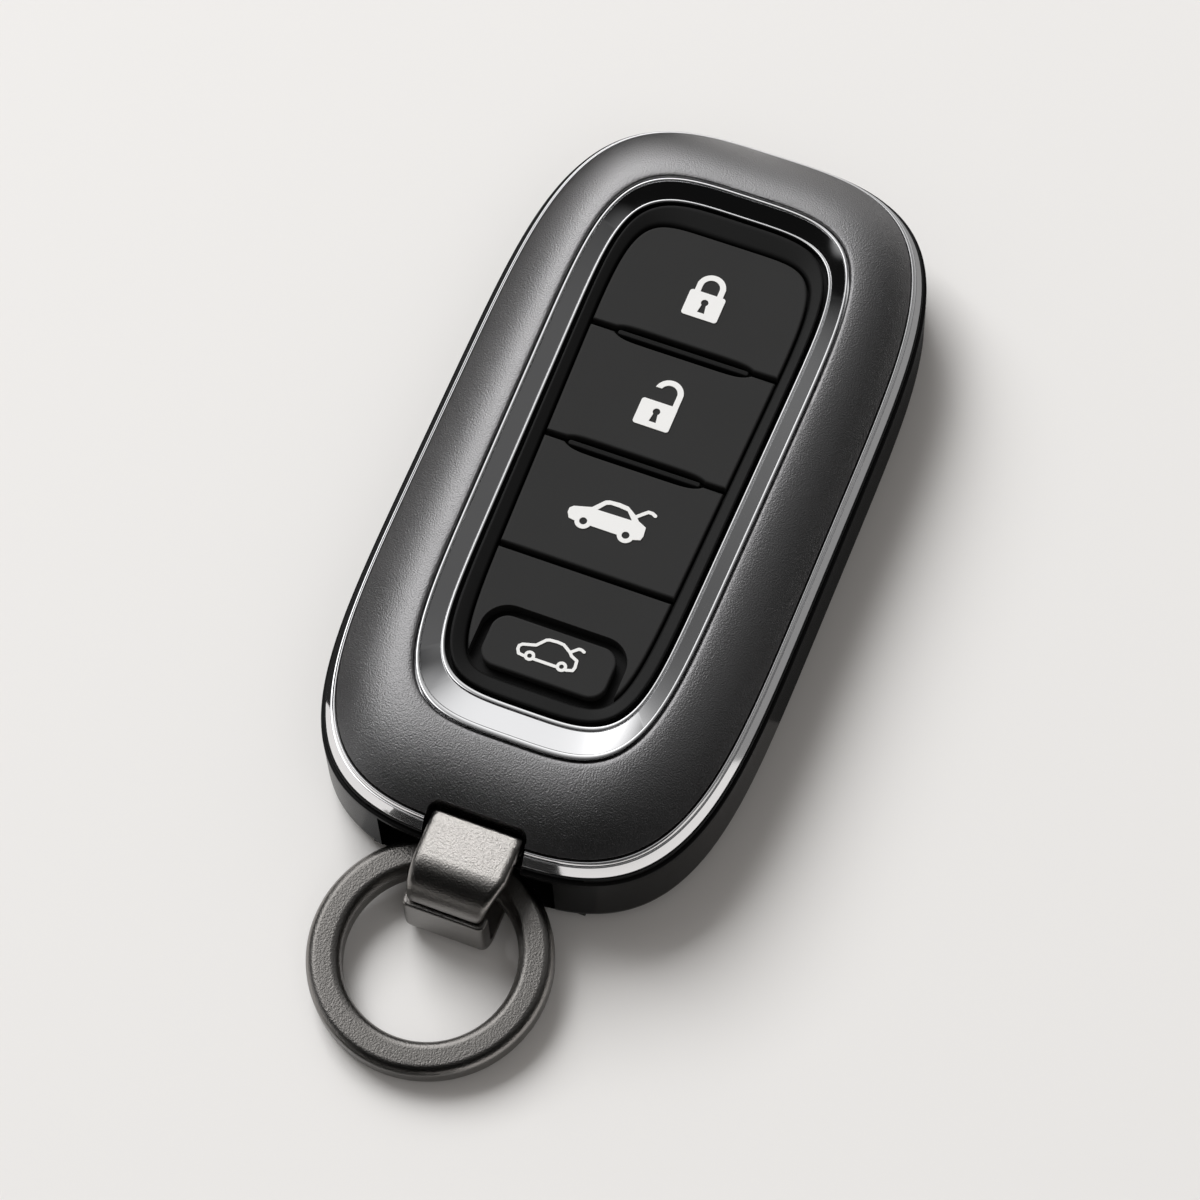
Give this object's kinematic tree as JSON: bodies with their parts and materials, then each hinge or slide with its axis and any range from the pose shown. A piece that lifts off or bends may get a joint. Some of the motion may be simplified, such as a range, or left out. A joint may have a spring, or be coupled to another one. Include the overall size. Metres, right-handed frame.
{
  "type": "key fob cover",
  "caption": "Two-shell cover for a car's keyless fob, with a framed soft keypad of push buttons and an opening loop that holds a key ring.",
  "frame": {"origin": "centre of the case's flat back face, on the surface that it lies on", "axes": "+Z out of the buttons' faces, +Y along the case away from the key ring, +X to the right seen from the buttons' side"},
  "size_m": [0.047, 0.113, 0.0157],
  "materials": {
    "gunmetal": "satin gunmetal lacquer on zinc alloy",
    "bright_trim": "polished",
    "soft_black": "matte moulded silicone",
    "button_grey": "matte with a fine grain",
    "sign_white": "matte print",
    "back_black": "satin gloss",
    "inner_black": "matte",
    "loop_metal": "satin grey plating",
    "plate_dark": "matte",
    "screw_steel": "plain"
  },
  "bodies": {
    "back": {"back_shell": "back_black", "inner_tray": "inner_black", "ring_hook": "loop_metal", "hook_screws": "screw_steel", "strap_pin": "screw_steel"},
    "strap": {"loop_strap": "loop_metal"},
    "ring": {"key_ring": "loop_metal"},
    "front": {"front_shell": "gunmetal", "side_trim_band": "bright_trim", "window_bezel": "bright_trim", "keypad_frame": "soft_black", "lower_panel": "button_grey", "keypad_retainer": "plate_dark", "retainer_screws": "screw_steel"},
    "lock_key": {"lock_button": "button_grey", "lock_icon": "sign_white"},
    "unlock_key": {"unlock_button": "button_grey", "unlock_icon": "sign_white"},
    "trunk_key": {"trunk_button": "button_grey", "trunk_icon": "sign_white"},
    "hatch_key": {"hatch_button": "button_grey", "hatch_icon": "sign_white"}
  },
  "joints": [
    {"name": "front_lift", "type": "slide", "parent": "back", "child": "front", "axis": [0, 0, 1], "range_m": [0, 0.02]},
    {"name": "strap_open", "type": "hinge", "parent": "back", "child": "strap", "pos_m": [0, -0.0437, 0.01095], "axis": [-1, 0, 0], "range_deg": [0, 35]},
    {"name": "ring_swing", "type": "hinge", "parent": "back", "child": "ring", "pos_m": [-0.0009, -0.04379, 0.00382], "axis": [-1, 0, 0], "range_deg": [-5, 45]},
    {"name": "lock_press", "type": "slide", "parent": "front", "child": "lock_key", "axis": [0, 0, -1], "range_m": [0, 0.0005], "stiffness_N_per_m": 3750},
    {"name": "unlock_press", "type": "slide", "parent": "front", "child": "unlock_key", "axis": [0, 0, -1], "range_m": [0, 0.0005], "stiffness_N_per_m": 3750},
    {"name": "trunk_press", "type": "slide", "parent": "front", "child": "trunk_key", "axis": [0, 0, -1], "range_m": [0, 0.0005], "stiffness_N_per_m": 3750},
    {"name": "hatch_press", "type": "slide", "parent": "front", "child": "hatch_key", "axis": [0, 0, -1], "range_m": [0, 0.0005], "stiffness_N_per_m": 3750}
  ]
}
